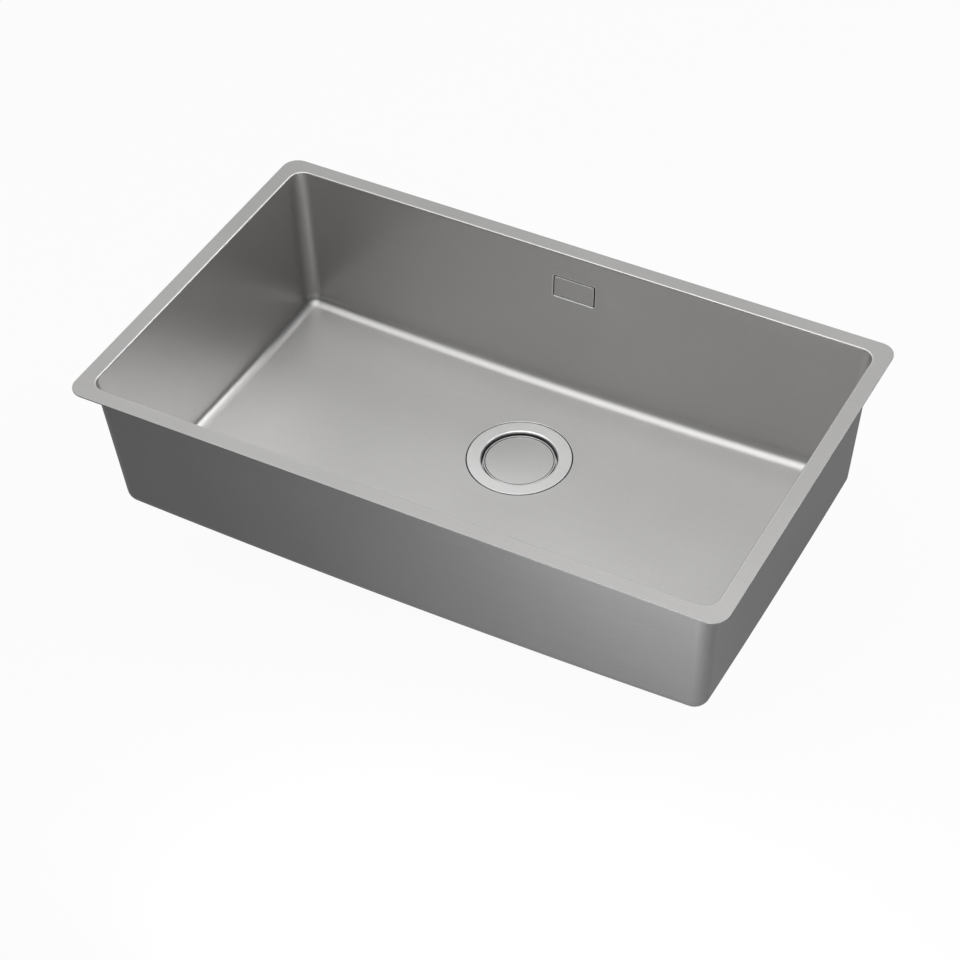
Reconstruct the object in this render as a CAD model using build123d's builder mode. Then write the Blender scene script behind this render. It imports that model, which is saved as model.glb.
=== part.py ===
from build123d import *
import math
import os

# Inset stainless kitchen sink with its basket waste and overflow, in millimetres.
# z = 0 is the worktop, x runs along the bowl, y towards the wall behind it.

# Rim and bowl
flange_length = 730
flange_width = 440
flange_corner_radius = 18
flange_margin = 18
sheet = 1.2
edge_round = 0.35
opening_corner_radius = 15.5
rim_bend_radius = 1.8
under_bend_radius = 0.8
wall_draft = 3.9
bowl_depth = 181
floor_fillet_radius = 14
dish_radius_long = 8000
dish_radius_short = 3500
drain_offset = 67
drain_hole_diameter = 90
recess_diameter = 116.8
recess_depth = 1.8
recess_edge_radius = 0.4

# Foam strip that beds the rim on the worktop, at its pressed height
rim_seal_thickness = 1.2
rim_seal_width = 8
rim_seal_inset = 3

# Sound-damping pads under the floor
pad_thickness = 2
pad_length = 170
pad_width = 220
pad_corner_radius = 12
pad_drain_clearance = 18
glue_line = 0.1

# Waste flange: the ring in the floor and the cup under it
ring_diameter = 114.4
ring_thickness = 1.5
ring_opening_diameter = 83.4
ring_lip_radius = 1.6
ring_edge_radius = 0.35
cup_wall = 1.2
cup_depth = 41.5
seat_depth = 26
seat_height = 8
seat_narrowing = 6
cup_drain_holes = 6
cup_drain_hole_diameter = 12
cup_drain_circle_diameter = 44
flange_seal_thickness = 0.8
seal_ring_width = 10.5
seal_hole_clearance = 1

# Waste body under the floor
body_seal_thickness = 2.5
body_flange_diameter = 115
body_flange_thickness = 4
body_bore_clearance = 3.1
body_wall = 2.8
body_depth = 44
cone_height = 10
outlet_bore_diameter = 41
outlet_thread_diameter = 47.8
outlet_length = 26
boss_diameter = 16
boss_gap = 1.2
boss_height = 16
rib_count = 3
rib_thickness = 3
rib_height = 10
rib_drop = 2

# Clamp screw through the cup into the boss
screw_diameter = 6
screw_hole_clearance = 0.3
thread_clearance = 0.05
screw_head_diameter = 12
screw_head_height = 3
screw_slot_width = 1.6
screw_slot_depth = 1.4
screw_length = 17

# Strainer basket with its knob and sealing ring
lift_gap = 0.2
basket_rim_clearance = 0.9
basket_wall = 1
basket_outer_diameter = 71
basket_depth = 22
basket_hole_diameter = 4
basket_holes_around = 20
basket_hole_rows = 2
basket_hole_row_pitch = 6
basket_first_row_drop = 4.5
basket_seal_height = 4
basket_seal_gap = 0.3
basket_corner_radius = 0.9
stem_diameter = 6.4
stem_thread_diameter = 4
stem_thread_length = 3.4
knob_diameter = 18
knob_height = 4.2
knob_cover_clearance = 1.4
knob_edge_radius = 1.2
nut_diameter = 8
nut_height = 2.4

# Cover that hides the basket
cover_diameter = 78.6
cover_drop = 3.6
cover_thickness = 1
cover_skirt_height = 2.6
cover_skirt_wall = 0.9
cover_step = 0.5
cover_step_width = 0.4
cover_dome = 0.7
cover_edge_width = 1.5
cover_edge_radius = 0.5
foot_diameter = 2.6
foot_height = 4.4
foot_count = 3

# Overflow in the back wall
overflow_drop = 44.7
pocket_width = 50
pocket_height = 27
pocket_corner_radius = 2
pocket_depth = 3
pocket_edge_radius = 1
throat_width = 40
throat_height = 17
plate_gap = 1.2
plate_thickness = 1.5
plate_set_back = 0.1
plate_edge = 0.8
plate_leg_diameter = 4
plate_leg_length = 4.9
plate_leg_spacing = 14
insert_lip_width = 46
insert_lip_height = 23
insert_lip_thickness = 1
insert_throat_clearance = 0.3
insert_wall = 1.2
insert_throat_depth = 6
insert_bar_height = 7.4
insert_bar_thickness = 3
leg_socket_clearance = 0.05
overflow_screw_diameter = 3.8
overflow_screw_head_diameter = 6.8
overflow_screw_head_height = 1.5
overflow_screw_length = 14
overflow_screw_spacing = 29
overflow_screw_clearance = 0.15
overflow_seal_thickness = 2
overflow_seal_clearance = 0.5
housing_wall = 2
housing_chamber_depth = 11.7
housing_sump = 5
housing_boss_diameter = 7
housing_corner_radius = 3

# Overflow hose and its unions
spigot_diameter = 18.4
spigot_bore_diameter = 14
sump_bore_diameter = 9.6
upper_spigot_length = 17
lower_spigot_length = 9.6
lower_spigot_drop = 32
hose_diameter = 17.6
hose_bore_diameter = 13.2
hose_straight_end = 9
washer_thickness = 1.6
nut_wall = 1.8
union_nut_length = 16
union_nut_clearance = 0.15
union_flute_count = 16
union_flute_radius = 1.3

# Tools that only reach past a surface to cut it cleanly
overshoot = 5


def tan_draft():
    return math.tan(math.radians(wall_draft))


# Levels
flange_bottom = rim_seal_thickness
flange_top = flange_bottom + sheet
floor_level = flange_top - bowl_depth
recess_floor = floor_level - recess_depth
recess_underside = recess_floor - sheet
ring_underside = recess_floor + flange_seal_thickness
ring_top = ring_underside + ring_thickness
cup_floor = ring_top - cup_depth
cup_underside = cup_floor - cup_wall
seat_top = ring_top - seat_depth
seat_bottom = seat_top - seat_height
body_top = recess_underside - body_seal_thickness
body_cone_top = body_top - body_depth
body_cone_bottom = body_cone_top - cone_height
outlet_end = body_cone_bottom - outlet_length
boss_top = cup_underside - boss_gap
cover_top = ring_top - cover_drop
cover_underside = cover_top - cover_thickness
basket_top = cover_underside - foot_height - lift_gap
basket_bottom = basket_top - basket_depth
knob_top = cover_underside - knob_cover_clearance
lower_spigot_level = body_top - lower_spigot_drop

# Radii
drain_hole_radius = drain_hole_diameter / 2
ring_opening_radius = ring_opening_diameter / 2
seat_radius = ring_opening_radius - seat_narrowing
body_bore_radius = ring_opening_radius + cup_wall + body_bore_clearance
body_outer_radius = body_bore_radius + body_wall
outlet_bore_radius = outlet_bore_diameter / 2
seal_inner_radius = drain_hole_radius + seal_hole_clearance
basket_rim_radius = ring_opening_radius - basket_rim_clearance
basket_outer_radius = basket_outer_diameter / 2
basket_inner_radius = basket_outer_radius - basket_wall
cover_radius = cover_diameter / 2
spigot_radius = spigot_diameter / 2
lower_spigot_reach = body_outer_radius + lower_spigot_length
union_nut_radius = spigot_radius + union_nut_clearance + nut_wall

opening_length = flange_length - 2 * flange_margin
opening_width = flange_width - 2 * flange_margin

# Planes: one through the drain's axis, one on the back wall's inner face at the overflow
drain_axis = Axis((0, drain_offset, 0), (0, 0, 1))
drain_section = Plane(origin=(0, drain_offset, 0), x_dir=(1, 0, 0), z_dir=(0, -1, 0))
overflow_level = flange_top - overflow_drop
overflow_wall_y = opening_width / 2 - overflow_drop * tan_draft()
overflow_face = Plane(
    origin=(0, overflow_wall_y, overflow_level),
    x_dir=(1, 0, 0),
    z_dir=(0, math.cos(math.radians(wall_draft)), -math.sin(math.radians(wall_draft))),
)
overflow_axis = Axis(overflow_face.origin, overflow_face.z_dir)


def drain_level(z):
    return Plane(origin=(0, drain_offset, z))


def above_floor(level, long_radius, short_radius):
    # Everything over the shallow dish: one arc across the bowl, lifted towards both ends
    half = flange_width
    sag = short_radius - math.sqrt(short_radius**2 - half**2)
    near = drain_offset - half
    far = drain_offset + half
    with BuildPart() as region:
        for station in (-flange_length / 2, 0, flange_length / 2):
            lift = station**2 / (2 * long_radius)
            ceiling = bowl_depth + flange_width - lift
            section = Plane(origin=(station, 0, level + lift), x_dir=(0, 1, 0), z_dir=(1, 0, 0))
            with BuildSketch(section):
                with BuildLine():
                    ThreePointArc((near, sag), (drain_offset, 0), (far, sag))
                    Polyline((far, sag), (far, ceiling), (near, ceiling), (near, sag))
                make_face()
        loft()
    return region.part


def bowl_form(growth, top):
    # The bowl's inside, or its outside when grown by the sheet
    level = floor_level - growth
    low = level - overshoot
    floor_region = above_floor(level, dish_radius_long + growth, dish_radius_short + growth)
    with BuildPart() as form:
        for height in (top, low):
            inset = (flange_top - height) * tan_draft()
            with BuildSketch(Plane.XY.offset(height)):
                RectangleRounded(
                    opening_length + 2 * (growth - inset),
                    opening_width + 2 * (growth - inset),
                    opening_corner_radius + growth,
                )
        loft(ruled=True)
        add(floor_region, mode=Mode.INTERSECT)
        fillet(form.faces().sort_by(Axis.Z)[0].edges(), radius=floor_fillet_radius + growth)
    return form.part


def pocket_form(growth):
    with BuildPart() as form:
        with BuildSketch(overflow_face.offset(-overshoot)):
            RectangleRounded(
                pocket_width + 2 * growth, pocket_height + 2 * growth, pocket_corner_radius + growth
            )
        extrude(amount=overshoot + pocket_depth + growth)
    return form.part


def recess_form(growth):
    with BuildPart() as form:
        with BuildSketch(drain_level(recess_floor - growth)):
            Circle(recess_diameter / 2 + growth)
        extrude(amount=recess_depth + overshoot)
    return form.part


def drain_ring(outer_radius, inner_radius, bottom, height):
    with BuildPart() as ring:
        with BuildSketch(drain_level(bottom)):
            Circle(outer_radius)
            Circle(inner_radius, mode=Mode.SUBTRACT)
        extrude(amount=height)
    return ring.part


os.makedirs("parts", exist_ok=True)

# The hollow that the pressed sheet encloses, with the drain recess and the overflow pocket
with BuildPart() as bowl_inside:
    add(bowl_form(0, flange_top + overshoot))
    add(recess_form(0))
    add(pocket_form(0))

with BuildPart() as bowl_outside:
    add(bowl_form(sheet, flange_top))
    add(recess_form(sheet))
    add(pocket_form(sheet))

# One pressed sheet: rim, walls, dished floor, drain recess and overflow pocket
with BuildPart() as sink_bowl:
    with BuildSketch(Plane.XY.offset(flange_bottom)):
        RectangleRounded(flange_length, flange_width, flange_corner_radius)
    extrude(amount=sheet)
    add(bowl_outside.part)
    add(bowl_inside.part, mode=Mode.SUBTRACT)
    with Locations(drain_level(recess_floor)):
        Hole(radius=drain_hole_radius, depth=sheet + overshoot)
    with BuildSketch(overflow_face):
        RectangleRounded(throat_width, throat_height, pocket_corner_radius)
    extrude(amount=pocket_depth + sheet + overshoot, mode=Mode.SUBTRACT)
    rim_face = sink_bowl.faces().filter_by(Axis.Z).sort_by(Axis.Z)[-1]
    fillet(rim_face.inner_wires()[0].edges(), radius=rim_bend_radius)
    rim_face = sink_bowl.faces().filter_by(Axis.Z).sort_by(Axis.Z)[-1]
    fillet(rim_face.outer_wire().edges(), radius=edge_round)
    level_faces = sink_bowl.faces().filter_by(Axis.Z)
    rim_underside = level_faces.filter_by_position(
        Axis.Z, flange_bottom - edge_round / 2, flange_bottom + edge_round / 2
    )[0]
    fillet(rim_underside.inner_wires()[0].edges(), radius=under_bend_radius)
    floor_face = sink_bowl.faces().sort_by(SortBy.AREA)[-2:].sort_by(Axis.Z)[-1]
    fillet(floor_face.inner_wires()[0].edges(), radius=recess_edge_radius)
    holed_faces = sink_bowl.faces().filter_by(lambda face: len(face.inner_wires()) > 0)
    back_walls = holed_faces.filter_by(lambda face: abs(face.center().Y - overflow_wall_y) < flange_margin)
    back_wall = back_walls.sort_by(SortBy.AREA)[-2:].sort_by(Axis.Y)[0]
    fillet(back_wall.inner_wires()[0].edges(), radius=pocket_edge_radius)
sink_bowl.part.label = "sink_bowl"
export_step(sink_bowl.part, "parts/sink_bowl.step")

# Foam strip under the rim; its lower face is the worktop plane
with BuildPart() as rim_seal:
    with BuildSketch():
        RectangleRounded(
            flange_length - 2 * rim_seal_inset,
            flange_width - 2 * rim_seal_inset,
            flange_corner_radius - rim_seal_inset,
        )
        RectangleRounded(
            flange_length - 2 * (rim_seal_inset + rim_seal_width),
            flange_width - 2 * (rim_seal_inset + rim_seal_width),
            flange_corner_radius - rim_seal_inset - rim_seal_width,
            mode=Mode.SUBTRACT,
        )
    extrude(amount=rim_seal_thickness)
rim_seal.part.label = "rim_seal"
export_step(rim_seal.part, "parts/rim_seal.step")

# Two pads that follow the underside of the dish, one each side of the drain
pad_top = floor_level - sheet - glue_line
pad_centre = recess_diameter / 2 + pad_drain_clearance + pad_length / 2
over_pad = above_floor(pad_top, dish_radius_long, dish_radius_short)
over_pad_underside = above_floor(pad_top - pad_thickness, dish_radius_long, dish_radius_short)
with BuildPart() as sound_pads:
    with BuildSketch(Plane.XY.offset(pad_top - overshoot)):
        with Locations((-pad_centre, 0), (pad_centre, 0)):
            RectangleRounded(pad_length, pad_width, pad_corner_radius)
    extrude(amount=bowl_depth / 2)
    add(over_pad_underside, mode=Mode.INTERSECT)
    add(over_pad, mode=Mode.SUBTRACT)
sound_pads.part.label = "sound_pads"
export_step(sound_pads.part, "parts/sound_pads.step")

# Ring seen in the floor, with the strainer cup pressed from the same sheet
with BuildPart() as waste_flange:
    with BuildSketch(drain_section):
        with BuildLine():
            Polyline(
                (ring_diameter / 2, ring_underside),
                (ring_diameter / 2, ring_top),
                (ring_opening_radius, ring_top),
                (ring_opening_radius, seat_top),
                (seat_radius, seat_bottom),
                (seat_radius, cup_floor),
                (0, cup_floor),
                (0, cup_underside),
                (seat_radius + cup_wall, cup_underside),
                (seat_radius + cup_wall, seat_bottom),
                (ring_opening_radius + cup_wall, seat_top),
                (ring_opening_radius + cup_wall, ring_underside),
                close=True,
            )
        make_face()
    revolve(axis=drain_axis)
    ring_edges = waste_flange.edges().filter_by(GeomType.CIRCLE).group_by(Axis.Z)[-1]
    ring_edges = ring_edges.sort_by(SortBy.RADIUS)
    fillet(ring_edges[0], radius=ring_lip_radius)
    fillet(ring_edges[-1], radius=ring_edge_radius)
    with Locations(drain_level(cup_floor)):
        Hole(radius=screw_diameter / 2 + screw_hole_clearance, depth=cup_wall + overshoot)
        with PolarLocations(cup_drain_circle_diameter / 2, cup_drain_holes):
            Hole(radius=cup_drain_hole_diameter / 2, depth=cup_wall + overshoot)
waste_flange.part.label = "waste_flange"
export_step(waste_flange.part, "parts/waste_flange.step")

# Seals above and below the floor
flange_seal = drain_ring(
    seal_inner_radius + seal_ring_width, seal_inner_radius, recess_floor, flange_seal_thickness
)
flange_seal.label = "flange_seal"
export_step(flange_seal, "parts/flange_seal.step")

body_seal = drain_ring(
    seal_inner_radius + seal_ring_width, seal_inner_radius, body_top, body_seal_thickness
)
body_seal.label = "body_seal"
export_step(body_seal, "parts/body_seal.step")

# Moulded body: clamping flange, bowl, cone and threaded outlet, with a ribbed centre boss
with BuildPart() as waste_body:
    with BuildSketch(drain_section):
        with BuildLine():
            Polyline(
                (body_bore_radius, body_top),
                (body_flange_diameter / 2, body_top),
                (body_flange_diameter / 2, body_top - body_flange_thickness),
                (body_outer_radius, body_top - body_flange_thickness),
                (body_outer_radius, body_cone_top),
                (outlet_thread_diameter / 2, body_cone_bottom),
                (outlet_thread_diameter / 2, outlet_end),
                (outlet_bore_radius, outlet_end),
                (outlet_bore_radius, body_cone_bottom),
                (body_bore_radius, body_cone_top),
                close=True,
            )
        make_face()
    revolve(axis=drain_axis)
    with BuildSketch(drain_level(boss_top - boss_height)):
        Circle(boss_diameter / 2)
    extrude(amount=boss_height)
    rib_reach = body_bore_radius + body_wall / 2
    with BuildSketch(drain_level(boss_top - rib_drop - rib_height)):
        with PolarLocations(rib_reach / 2, rib_count, start_angle=90):
            Rectangle(rib_reach, rib_thickness)
    extrude(amount=rib_height)
    spigot_start = Plane(
        origin=(0, drain_offset + body_bore_radius + body_wall / 2, lower_spigot_level),
        x_dir=(1, 0, 0),
        z_dir=(0, 1, 0),
    )
    with BuildSketch(spigot_start):
        Circle(spigot_radius)
    extrude(amount=lower_spigot_reach - body_bore_radius - body_wall / 2)
    with BuildSketch(spigot_start.offset(-body_wall)):
        Circle(spigot_bore_diameter / 2)
    extrude(amount=lower_spigot_reach, mode=Mode.SUBTRACT)
    with Locations(drain_level(boss_top)):
        Hole(radius=screw_diameter / 2 + thread_clearance, depth=boss_height + overshoot)
waste_body.part.label = "waste_body"
export_step(waste_body.part, "parts/waste_body.step")

# Slotted screw that pulls the body up against the floor
with BuildPart() as clamp_screw:
    with BuildSketch(drain_level(cup_floor)):
        Circle(screw_head_diameter / 2)
    extrude(amount=screw_head_height)
    with BuildSketch(drain_level(cup_floor)):
        Circle(screw_diameter / 2)
    extrude(amount=-screw_length)
    fillet(clamp_screw.edges().sort_by(Axis.Z)[-1], radius=screw_slot_depth / 2)
    with BuildSketch(drain_level(cup_floor + screw_head_height - screw_slot_depth)):
        Rectangle(screw_head_diameter + overshoot, screw_slot_width)
    extrude(amount=screw_slot_depth + overshoot, mode=Mode.SUBTRACT)
clamp_screw.part.label = "clamp_screw"
export_step(clamp_screw.part, "parts/clamp_screw.step")

# Perforated basket that hangs in the cup and closes it when it is down
with BuildPart() as strainer_basket:
    with BuildSketch(drain_section):
        with BuildLine():
            Polyline(
                (basket_rim_radius, basket_top),
                (basket_inner_radius, basket_top),
                (basket_inner_radius, basket_bottom + basket_wall),
                (0, basket_bottom + basket_wall),
                (0, basket_bottom),
                (basket_outer_radius, basket_bottom),
                (basket_outer_radius, basket_top - basket_wall),
                (basket_rim_radius, basket_top - basket_wall),
                close=True,
            )
        make_face()
    revolve(axis=drain_axis)
    inner_circles = strainer_basket.edges().filter_by(GeomType.CIRCLE)
    inner_circles = inner_circles.filter_by(
        lambda edge: abs(edge.radius - basket_inner_radius) < glue_line
    )
    fillet(inner_circles, radius=basket_corner_radius)
    with Locations(drain_level(basket_bottom + basket_wall)):
        Hole(radius=stem_thread_diameter / 2 + thread_clearance, depth=basket_wall + overshoot)
    for row in range(basket_hole_rows):
        hole_level = basket_top - basket_first_row_drop - row * basket_hole_row_pitch
        for index in range(basket_holes_around):
            turn = math.tau * (index + row / 2) / basket_holes_around
            hole_start = Plane(
                origin=(0, drain_offset, hole_level),
                z_dir=(math.cos(turn), math.sin(turn), 0),
            )
            with BuildSketch(hole_start.offset(basket_inner_radius - basket_wall)):
                Circle(basket_hole_diameter / 2)
            extrude(amount=3 * basket_wall, mode=Mode.SUBTRACT)
strainer_basket.part.label = "strainer_basket"
export_step(strainer_basket.part, "parts/strainer_basket.step")


def seat_radius_at(z):
    return ring_opening_radius - seat_narrowing * (seat_top - z) / seat_height


# Rubber ring round the basket's foot, tapered like its seat
with BuildPart() as basket_seal:
    seal_high = basket_bottom + basket_seal_height
    with BuildSketch(drain_section):
        with BuildLine():
            Polyline(
                (basket_outer_radius, basket_bottom),
                (seat_radius_at(basket_bottom) - basket_seal_gap, basket_bottom),
                (seat_radius_at(seal_high) - basket_seal_gap, seal_high),
                (basket_outer_radius, seal_high),
                close=True,
            )
        make_face()
    revolve(axis=drain_axis)
basket_seal.part.label = "basket_seal"
export_step(basket_seal.part, "parts/basket_seal.step")

# Knob and stem for pulling the basket up
with BuildPart() as basket_knob:
    with BuildSketch(drain_level(knob_top - knob_height)):
        Circle(knob_diameter / 2)
    extrude(amount=knob_height)
    fillet(basket_knob.edges(), radius=knob_edge_radius)
    with BuildSketch(drain_level(basket_bottom + basket_wall)):
        Circle(stem_diameter / 2)
    extrude(amount=knob_top - knob_height / 2 - basket_bottom - basket_wall)
    with BuildSketch(drain_level(basket_bottom + basket_wall)):
        Circle(stem_thread_diameter / 2)
    extrude(amount=-basket_wall - stem_thread_length)
basket_knob.part.label = "basket_knob"
export_step(basket_knob.part, "parts/basket_knob.step")

with BuildPart() as knob_nut:
    with BuildSketch(drain_level(basket_bottom - nut_height)):
        RegularPolygon(nut_diameter / 2, 6)
        Circle(stem_thread_diameter / 2 + thread_clearance, mode=Mode.SUBTRACT)
    extrude(amount=nut_height)
knob_nut.part.label = "knob_nut"
export_step(knob_nut.part, "parts/knob_nut.step")

# Pressed cover: flat edge, a small step inside it, a faint dome and a short skirt
with BuildPart() as drain_cover:
    edge_inner_radius = cover_radius - cover_edge_width
    dome_radius = edge_inner_radius - cover_step_width
    dome_edge = cover_top - cover_step
    with BuildSketch(drain_section):
        with BuildLine():
            ThreePointArc(
                (0, dome_edge + cover_dome),
                (dome_radius / 2, dome_edge + cover_dome * 3 / 4),
                (dome_radius, dome_edge),
            )
            Polyline(
                (dome_radius, dome_edge),
                (edge_inner_radius, cover_top),
                (cover_radius, cover_top),
                (cover_radius, cover_underside - cover_skirt_height),
                (cover_radius - cover_skirt_wall, cover_underside - cover_skirt_height),
                (cover_radius - cover_skirt_wall, cover_underside),
                (0, cover_underside),
                (0, dome_edge + cover_dome),
            )
        make_face()
    revolve(axis=drain_axis)
    rim_circles = drain_cover.edges().filter_by(GeomType.CIRCLE)
    rim_circles = rim_circles.filter_by(lambda edge: abs(edge.radius - cover_radius) < glue_line)
    fillet(rim_circles.sort_by(Axis.Z)[-1], radius=cover_edge_radius)
drain_cover.part.label = "drain_cover"
export_step(drain_cover.part, "parts/drain_cover.step")

# Soft feet that stand the cover on the basket's rim
with BuildPart() as cover_feet:
    foot_circle_radius = cover_radius - cover_skirt_wall - foot_diameter / 2 - glue_line
    with BuildSketch(drain_level(basket_top + lift_gap)):
        with PolarLocations(foot_circle_radius, foot_count):
            Circle(foot_diameter / 2)
    extrude(amount=foot_height)
cover_feet.part.label = "cover_feet"
export_step(cover_feet.part, "parts/cover_feet.step")

# Overflow plate, flush in its pocket, with two legs that plug into the insert
with BuildPart() as overflow_plate:
    with BuildSketch(overflow_face.offset(plate_set_back)):
        RectangleRounded(
            pocket_width - 2 * plate_gap,
            pocket_height - 2 * plate_gap,
            pocket_corner_radius - plate_gap / 2,
        )
    extrude(amount=plate_thickness)
    plate_front = overflow_plate.faces().sort_by(overflow_axis)[0]
    fillet(plate_front.edges(), radius=plate_edge)
    with BuildSketch(overflow_face.offset(plate_set_back + plate_thickness)):
        with Locations((-plate_leg_spacing / 2, 0), (plate_leg_spacing / 2, 0)):
            Circle(plate_leg_diameter / 2)
    extrude(amount=plate_leg_length)
overflow_plate.part.label = "overflow_plate"
export_step(overflow_plate.part, "parts/overflow_plate.step")

# Moulded insert that lines the throat and carries the plate
insert_front = pocket_depth - insert_lip_thickness
throat_liner_width = throat_width - 2 * insert_throat_clearance
throat_liner_height = throat_height - 2 * insert_throat_clearance
with BuildPart() as overflow_insert:
    with BuildSketch(overflow_face.offset(insert_front)):
        RectangleRounded(insert_lip_width, insert_lip_height, pocket_corner_radius)
    extrude(amount=insert_lip_thickness)
    with BuildSketch(overflow_face.offset(pocket_depth)):
        RectangleRounded(
            throat_liner_width, throat_liner_height, pocket_corner_radius - insert_throat_clearance
        )
    extrude(amount=insert_throat_depth)
    with BuildSketch(overflow_face.offset(insert_front)):
        Rectangle(throat_liner_width - 2 * insert_wall, throat_liner_height - 2 * insert_wall)
    extrude(amount=insert_lip_thickness + insert_throat_depth, mode=Mode.SUBTRACT)
    with BuildSketch(overflow_face.offset(insert_front)):
        Rectangle(throat_liner_width - insert_wall, insert_bar_height)
        with Locations((-plate_leg_spacing / 2, 0), (plate_leg_spacing / 2, 0)):
            Circle(plate_leg_diameter / 2 + leg_socket_clearance, mode=Mode.SUBTRACT)
    extrude(amount=insert_bar_thickness)
    with Locations(overflow_face.offset(insert_front)):
        with Locations((-overflow_screw_spacing / 2, 0, 0), (overflow_screw_spacing / 2, 0, 0)):
            Cone(
                overflow_screw_head_diameter / 2 + overflow_screw_clearance,
                overflow_screw_diameter / 2 + overflow_screw_clearance,
                overflow_screw_head_height,
                align=(Align.CENTER, Align.CENTER, Align.MIN),
                mode=Mode.SUBTRACT,
            )
            Cylinder(
                overflow_screw_diameter / 2 + overflow_screw_clearance,
                insert_bar_thickness,
                align=(Align.CENTER, Align.CENTER, Align.MIN),
                mode=Mode.SUBTRACT,
            )
overflow_insert.part.label = "overflow_insert"
export_step(overflow_insert.part, "parts/overflow_insert.step")

# Seal and housing on the back of the pocket
housing_front = pocket_depth + sheet + overflow_seal_thickness
chamber_back = housing_front + housing_chamber_depth
with BuildPart() as overflow_seal:
    with BuildSketch(overflow_face.offset(pocket_depth + sheet)):
        RectangleRounded(pocket_width, pocket_height, housing_corner_radius)
        Rectangle(
            throat_width + 2 * overflow_seal_clearance,
            throat_height + 2 * overflow_seal_clearance,
            mode=Mode.SUBTRACT,
        )
    extrude(amount=overflow_seal_thickness)
overflow_seal.part.label = "overflow_seal"
export_step(overflow_seal.part, "parts/overflow_seal.step")

chamber_width = pocket_width - 2 * housing_wall
chamber_height = pocket_height + housing_sump - 2 * housing_wall
chamber_shift = housing_sump / 2
sump_down = pocket_height / 2 + housing_sump - housing_wall
sump_point = overflow_face.from_local_coords((0, sump_down, housing_front + housing_chamber_depth / 2))
hose_y = sump_point.Y
sump_level = sump_point.Z
spigot_top = sump_level + housing_wall / 4
upper_spigot_end = sump_level - housing_wall - upper_spigot_length

with BuildPart() as overflow_housing:
    with BuildSketch(overflow_face.offset(housing_front)):
        with Locations((0, chamber_shift)):
            RectangleRounded(pocket_width, pocket_height + housing_sump, housing_corner_radius)
    extrude(amount=housing_chamber_depth + housing_wall)
    fillet(overflow_housing.faces().sort_by(overflow_axis)[-1].edges(), radius=housing_wall / 2)
    with BuildSketch(Plane(origin=(0, hose_y, upper_spigot_end))):
        Circle(spigot_radius)
    extrude(amount=sump_level - housing_wall / 2 - upper_spigot_end)
    with BuildSketch(overflow_face.offset(housing_front)):
        with Locations((0, chamber_shift)):
            Rectangle(chamber_width, chamber_height)
        with Locations((-overflow_screw_spacing / 2, 0), (overflow_screw_spacing / 2, 0)):
            Circle(housing_boss_diameter / 2, mode=Mode.SUBTRACT)
    extrude(amount=housing_chamber_depth, mode=Mode.SUBTRACT)
    with BuildSketch(overflow_face.offset(housing_front)):
        Rectangle(throat_width, throat_height)
    extrude(amount=insert_throat_depth - sheet - overflow_seal_thickness + insert_wall, mode=Mode.SUBTRACT)
    with BuildSketch(overflow_face.offset(housing_front)):
        with Locations((-overflow_screw_spacing / 2, 0), (overflow_screw_spacing / 2, 0)):
            Circle(overflow_screw_diameter / 2 + thread_clearance)
    extrude(amount=housing_chamber_depth, mode=Mode.SUBTRACT)
    with BuildSketch(Plane(origin=(0, hose_y, upper_spigot_end))):
        Circle(spigot_bore_diameter / 2)
    extrude(amount=upper_spigot_length - housing_wall, mode=Mode.SUBTRACT)
    with BuildSketch(Plane(origin=(0, hose_y, upper_spigot_end))):
        Circle(sump_bore_diameter / 2)
    extrude(amount=upper_spigot_length + 2 * housing_wall, mode=Mode.SUBTRACT)
overflow_housing.part.label = "overflow_housing"
export_step(overflow_housing.part, "parts/overflow_housing.step")

with BuildPart() as overflow_screws:
    with Locations(overflow_face.offset(insert_front)):
        with Locations((-overflow_screw_spacing / 2, 0, 0), (overflow_screw_spacing / 2, 0, 0)):
            Cone(
                overflow_screw_head_diameter / 2,
                overflow_screw_diameter / 2,
                overflow_screw_head_height,
                align=(Align.CENTER, Align.CENTER, Align.MIN),
            )
            Cylinder(
                overflow_screw_diameter / 2,
                overflow_screw_length,
                align=(Align.CENTER, Align.CENTER, Align.MIN),
            )
overflow_screws.part.label = "overflow_screws"
export_step(overflow_screws.part, "parts/overflow_screws.step")

# Hose from the housing's sump, down behind the bowl and forward to the waste body
hose_start = upper_spigot_end - washer_thickness
hose_end_y = drain_offset + lower_spigot_reach + washer_thickness
hose_bend_radius = hose_y - hose_end_y - hose_straight_end
with BuildPart() as overflow_hose:
    with BuildLine() as hose_route:
        FilletPolyline(
            (0, hose_y, hose_start),
            (0, hose_y, lower_spigot_level),
            (0, hose_end_y, lower_spigot_level),
            radius=hose_bend_radius,
        )
    with BuildSketch(Plane(origin=(0, hose_y, hose_start), z_dir=(0, 0, -1))):
        Circle(hose_diameter / 2)
        Circle(hose_bore_diameter / 2, mode=Mode.SUBTRACT)
    sweep()
overflow_hose.part.label = "overflow_hose"
export_step(overflow_hose.part, "parts/overflow_hose.step")
hose_length = hose_route.wires()[0].length
print("overflow hose length", round(hose_length, 1), "bend radius", round(hose_bend_radius, 1))


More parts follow.
